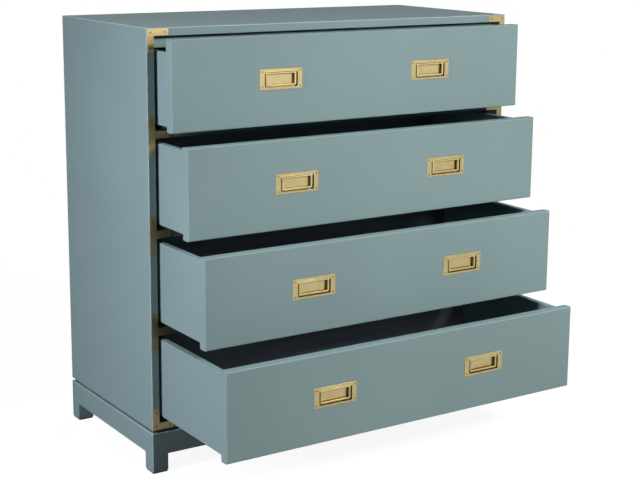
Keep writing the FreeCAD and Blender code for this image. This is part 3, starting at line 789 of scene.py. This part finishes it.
@dataclass
class Carcass:
    """The lacquered box with its dividers, back and brass corner pieces."""

    body: str = "carcass"
    drawers: int = 4
    pin_radius: float = 0.0025
    pin_height: float = 0.0008
    pin_inset: float = 0.004
    pin_pitch: float = 0.11
    pin_steps: int = 14
    pin_merge_share: float = 0.01

    def build(self) -> None:
        """Add the pins that hold the back panel."""
        low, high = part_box("back_panel")
        shape = bmesh.new()
        for x, z in self.pin_spots(low, high):
            self.pin(shape, Vector((x, high.y, z)))
        reach = self.pin_height * self.pin_merge_share
        bmesh.ops.remove_doubles(shape, verts=shape.verts, dist=reach)
        bmesh.ops.recalc_face_normals(shape, faces=shape.faces)
        add_piece("back_panel_pins", shape, ZINC, self.body)

    def pin_spots(self, low: Vector, high: Vector) -> Iterator[tuple[float, float]]:
        """Places for the pins, evenly along the four edges of the back panel.

        Args:
            low: the panel's lowest corner.
            high: the panel's highest corner.

        Yields:
            The x and z of each pin.
        """
        left, right = low.x + self.pin_inset, high.x - self.pin_inset
        bottom, top = low.z + self.pin_inset, high.z - self.pin_inset
        across = round((right - left) / self.pin_pitch)
        up = round((top - bottom) / self.pin_pitch)
        for step in range(across + 1):
            x = left + (right - left) * step / across
            yield x, bottom
            yield x, top
        for step in range(1, up):
            z = bottom + (top - bottom) * step / up
            yield left, z
            yield right, z

    def pin(self, shape: bmesh.types.BMesh, spot: Vector) -> None:
        """Add one domed pin head to a mesh, facing the back.

        Args:
            shape: the mesh that it joins.
            spot: the middle of the head's foot.
        """
        profile_shares = ((0.0, 1.0), (0.55, 0.86), (0.88, 0.5), (1.0, 0.0), (0.0, 0.0))
        verts = [
            shape.verts.new(spot + Vector((self.pin_radius * out, self.pin_height * up, 0)))
            for out, up in profile_shares
        ]
        edges = [shape.edges.new(ends) for ends in zip(verts, verts[1:])]
        turn = {"axis": (0, 1, 0), "angle": math.tau, "steps": self.pin_steps}
        bmesh.ops.spin(shape, geom=verts + edges, cent=spot, use_merge=True, **turn)

    def dress(self) -> None:
        """Finish the panels, the dividers, the back and the brass pieces."""
        low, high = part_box("left_side_panel")
        # The case panels carry the painted edge highlight.
        shell = replace(HIGHLIGHT_EDGED_LACQUER, name="shell_lacquer", filled_heights=(low.z, high.z))
        for node in ("top_panel", "bottom_panel", "left_side_panel", "right_side_panel"):
            dress(node, shell)
        dress("top_rail", LACQUER)
        for number in range(1, self.drawers):
            dress(f"drawer_divider_{number}", LACQUER)
        # The back is near-black, which paints the shade inside the case.
        dress("back_panel", SHADE_BLACK_BOARD)
        dress("carcass_dowels", BARE_BEECH)
        dress("corner_brackets", CORNER_BRASS)
        dress("tee_brackets", SHADED_TEE_BRASS)
        dress("bracket_screws", SCREW_BRASS)
        dress("runner_cabinet_members", ZINC)


@dataclass
class Base:
    """The low frame on square feet, with the recessed board that makes the shadow gap."""

    def dress(self) -> None:
        """Finish the frame, the recessed board and the glides."""
        frame_lacquer = replace(HIGHLIGHT_EDGED_LACQUER, name="frame_lacquer", filled_upright=True)
        for node in ("base_front_apron", "base_rear_apron", "base_end_aprons", "base_feet"):
            dress(node, frame_lacquer)
        # The recessed board's near-black paints the shade of the gap.
        dress("base_spacer_board", SHADE_BLACK_BOARD)
        dress("foot_glides", NYLON)


@dataclass
class Drawer:
    """One drawer box with its runners and two flush pulls."""

    number: int

    def dress(self) -> None:
        """Finish the box, the runners and the pulls."""
        dress(self.node("front"), LACQUER)
        for side in Side:
            dress(self.node(f"{side.value}_side"), BOX_LACQUER)
            dress(self.node(f"{side.value}_bail"), BAIL_BRASS)
        for part in ("back", "bottom"):
            dress(self.node(part), GREY_BOARD)
        dress(self.node("runners"), ZINC)
        dress(self.node("pull_plates"), PLATE_BRASS)
        dress(self.node("pull_screws"), PULL_SCREW_BRASS)

    def node(self, part: str) -> str:
        """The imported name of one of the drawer's parts."""
        return f"drawer_{self.number}_{part}"


@dataclass
class Softbox:
    """An oblong lamp that faces a point, with a grid where its light is narrowed."""

    name: str
    spot: Point
    target: Point
    width: float
    height: float
    power: float
    colour: Colour
    grid_angle: float = 180.0
    shines: bool = True

    def build(self) -> None:
        """Hang the lamp, out of the camera's sight."""
        lamp = bpy.data.lights.new(self.name, "AREA")
        lamp.shape = "RECTANGLE"
        lamp.size = self.width
        lamp.size_y = self.height
        lamp.energy = self.power
        lamp.color = self.colour
        lamp.spread = math.radians(self.grid_angle)
        hung = bpy.data.objects.new(self.name, lamp)
        aim = Vector(self.target) - Vector(self.spot)
        turn = aim.to_track_quat("-Z", "Y").to_matrix().to_4x4()
        hung.matrix_world = Matrix.Translation(self.spot) @ turn
        hung.visible_camera = False
        hung.visible_glossy = self.shines
        bpy.context.scene.collection.objects.link(hung)
        LOG.info("%s: %.0f W", self.name, self.power)


LAMPS = (
    Softbox(
        name="front_softbox",
        spot=(0.88, -2.586, 1.75),
        target=(0.0, -0.3, 0.5),
        width=1.2,
        height=0.5,
        power=78.0,
        colour=(1.0, 0.985, 0.98),
    ),
    Softbox(
        name="left_strip",
        spot=(-2.553, -0.438, 1.4),
        target=(-0.656, -0.438, 0.5),
        width=0.27,
        height=1.476,
        power=12.6,
        colour=(0.905, 0.916, 1.0),
        grid_angle=73.5,
    ),
    Softbox(
        name="back_softbox",
        spot=(2.0, 2.1, 0.6),
        target=(0.1, 0.1, 0.45),
        width=1.2,
        height=0.7,
        power=85.0,
        colour=(1.0, 0.99, 0.98),
        shines=False,
    ),
)


@dataclass
class Studio:
    """A pale floor that fades into a white background, three lamps and a little light all round."""

    floor_half: float = 9.0
    floor_drop: float = 0.0005
    floor_colour: Colour = (0.25, 0.20, 0.18)
    grit: float = 0.05
    grit_detail: float = 2.0
    grit_tone_share: float = 0.02
    glow_share: float = 0.92
    shadow_share: float = 0.16
    fade: Limits = (0.9, 1.7)
    # Painted shade in metal: near the chest the floor shows in metal with little glow, darker than the
    # camera sees it, and white further off.
    painted_shade_mirrored_glow_share: float = 0.05
    mirrored_shadow_share: float = 0.25
    mirrored_fade: Limits = (0.6, 0.95)
    ambient: Colour = (0.03, 0.05, 0.065)

    def build(self) -> None:
        """Lay the floor, set the background and hang the lamps."""
        self.floor()
        self.background()
        for lamp in LAMPS:
            lamp.build()

    def looked_at(self, graph: Graph) -> Wire:
        """A mask that is 1 where the camera looks straight at a surface."""
        return graph.node("ShaderNodeLightPath", output="Is Camera Ray")

    def mirrored(self, graph: Graph) -> Wire:
        """A mask that is 1 where a surface shows in metal or through glass."""
        glossy = graph.node("ShaderNodeLightPath", output="Is Glossy Ray")
        return glossy.at_least(graph.node("ShaderNodeLightPath", output="Is Transmission Ray"))

    def floor(self) -> None:
        """Lay a wide floor that keeps the chest's shadow near it and is white further off, and that
        near the chest shows in metal with painted shade, darker than the camera sees it.
        """
        shape = bmesh.new()
        bmesh.ops.create_grid(shape, x_segments=1, y_segments=1, size=self.floor_half)
        bmesh.ops.translate(shape, vec=(0, 0, -self.floor_drop), verts=shape.verts)
        mesh = bpy.data.meshes.new("studio_floor")
        shape.to_mesh(mesh)
        shape.free()
        material = bpy.data.materials.new("studio_floor")
        material.use_nodes = True
        graph = Graph(material.node_tree)
        graph.surface(self.floor_shader(graph))
        mesh.materials.append(material)
        floor = bpy.data.objects.new("studio_floor", mesh)
        bpy.context.scene.collection.objects.link(floor)

    def glow(self, graph: Graph, strength: float) -> Wire:
        """White light that a surface gives off by itself."""
        links = {"Color": (*WHITE, OPAQUE), "Strength": strength}
        return graph.node("ShaderNodeEmission", None, links)

    def floor_shader(self, graph: Graph) -> Wire:
        """Write the floor's shader into a graph.

        Args:
            graph: the floor material's graph.

        Returns:
            The shader.
        """
        place = graph.place()
        reach = graph.node("ShaderNodeVectorMath", {"operation": "LENGTH"}, {0: place}, "Value")
        grit = graph.noise(place, self.grit, self.grit_detail)
        dull, bright = (shade(self.floor_colour, 1 + sign * self.grit_tone_share) for sign in (-1, 1))
        tone = graph.mix(grit, dull, bright)
        shader = graph.node("ShaderNodeBsdfDiffuse", None, {"Color": tone})
        white = self.glow(graph, FULL_STRENGTH)
        seen = (self.looked_at(graph), self.fade, self.glow_share, self.shadow_share)
        # Painted shade: in metal the floor near the chest is dim.
        in_metal_painted_shade = (
            self.mirrored(graph),
            self.mirrored_fade,
            self.painted_shade_mirrored_glow_share,
            self.mirrored_shadow_share,
        )
        for mask, fade, glow_share, shadow_share in (seen, in_metal_painted_shade):
            grey = (*shade(WHITE, shadow_share), OPAQUE)
            shadowed = graph.node("ShaderNodeBsdfDiffuse", None, {"Color": grey})
            glow = self.glow(graph, glow_share)
            near = graph.node("ShaderNodeAddShader", None, {0: shadowed, 1: glow})
            links = {0: reach.between(*fade), 1: near, 2: white}
            shown = graph.node("ShaderNodeMixShader", None, links)
            shader = graph.node("ShaderNodeMixShader", None, {0: mask, 1: shader, 2: shown})
        return shader

    def background(self) -> None:
        """Set a white background that lights the chest only a little."""
        world = bpy.data.worlds.new("studio")
        world.use_nodes = True
        bpy.context.scene.world = world
        graph = Graph(world.node_tree)
        seen = self.looked_at(graph).at_least(self.mirrored(graph))
        links = {"Color": graph.mix(seen, self.ambient, WHITE), "Strength": FULL_STRENGTH}
        graph.surface(graph.node("ShaderNodeBackground", None, links))


@dataclass
class Viewpoint:
    """The camera at the photograph's viewing angle."""

    spot: Point = (-1.6736, -2.6751, 1.1320)
    azimuth: float = -33.357
    elevation: float = 11.333
    roll: float = 0.475
    focal_pixels: float = 1395.7
    centre_pixels: tuple[float, float] = (320.0, 200.0)
    frame_pixels: tuple[int, int] = (640, 480)
    sensor_width_mm: float = 36.0

    def build(self) -> None:
        """Set up the camera and make it the scene's."""
        lens = bpy.data.cameras.new("viewpoint")
        width, height = self.frame_pixels
        lens.sensor_fit = "HORIZONTAL"
        lens.sensor_width = self.sensor_width_mm
        lens.lens = self.focal_pixels * self.sensor_width_mm / width
        lens.shift_x = (width / 2 - self.centre_pixels[0]) / width
        lens.shift_y = (self.centre_pixels[1] - height / 2) / width
        camera = bpy.data.objects.new("viewpoint", lens)
        turn = (
            Matrix.Rotation(math.radians(self.azimuth), 4, "Z")
            @ Matrix.Rotation(math.radians(RIGHT_ANGLE - self.elevation), 4, "X")
            @ Matrix.Rotation(math.radians(self.roll), 4, "Z")
        )
        camera.matrix_world = Matrix.Translation(self.spot) @ turn
        bpy.context.scene.collection.objects.link(camera)
        bpy.context.scene.camera = camera


def main() -> None:
    """Build and dress the chest, then the studio and the camera."""
    logging.basicConfig(level=logging.INFO, format="%(name)s %(message)s")
    bpy.context.scene.view_settings.view_transform = "Standard"
    carcass = Carcass()
    carcass.build()
    carcass.dress()
    Base().dress()
    for number in range(1, carcass.drawers + 1):
        Drawer(number).dress()
    Studio().build()
    Viewpoint().build()


if __name__ == "__main__":
    main()
